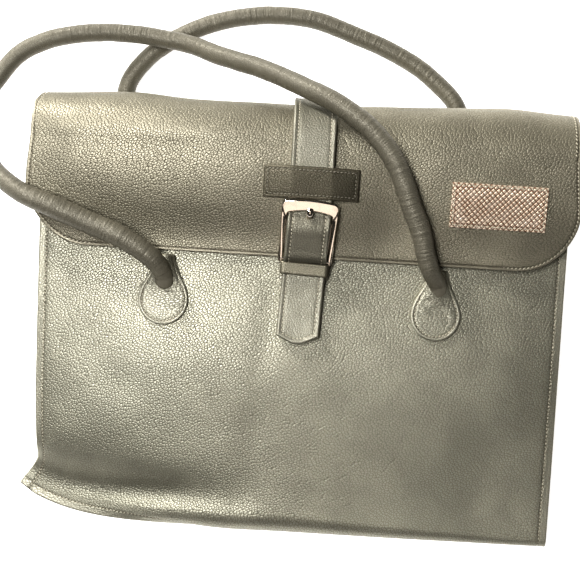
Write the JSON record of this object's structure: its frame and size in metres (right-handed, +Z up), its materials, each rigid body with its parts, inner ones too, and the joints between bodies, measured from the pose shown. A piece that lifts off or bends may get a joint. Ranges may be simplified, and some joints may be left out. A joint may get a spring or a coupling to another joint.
{
  "type": "leather document case",
  "caption": "Soft leather document case with a folded flap, two rolled handles on drop-shaped tabs, and a buckled strap, lying on its back.",
  "frame": {"origin": "middle of the flat area of the back panel that rests on the surface", "axes": "+X across the case, to the right when its front is seen with the handles at the top; +Y from the bottom seam to the flap's fold; +Z up, out of the front"},
  "size_m": [0.4927, 0.4316, 0.0991],
  "materials": {
    "leather": "satin, pebbled grain",
    "nickel": "polished",
    "label": "metallic, embossed scales"
  },
  "bodies": {
    "root": {"front_panel": "leather", "back_panel": "leather", "side_gusset_left": "leather", "side_gusset_right": "leather", "bottom_gusset": "leather", "flap": "leather", "closure_strap": "leather", "strap_loop": "leather", "keeper_loop": "leather", "buckle_tab": "leather", "front_handle": "leather", "back_handle": "leather", "label_patch": "label", "buckle_frame": "nickel", "buckle_prong": "nickel"}
  },
  "joints": []
}
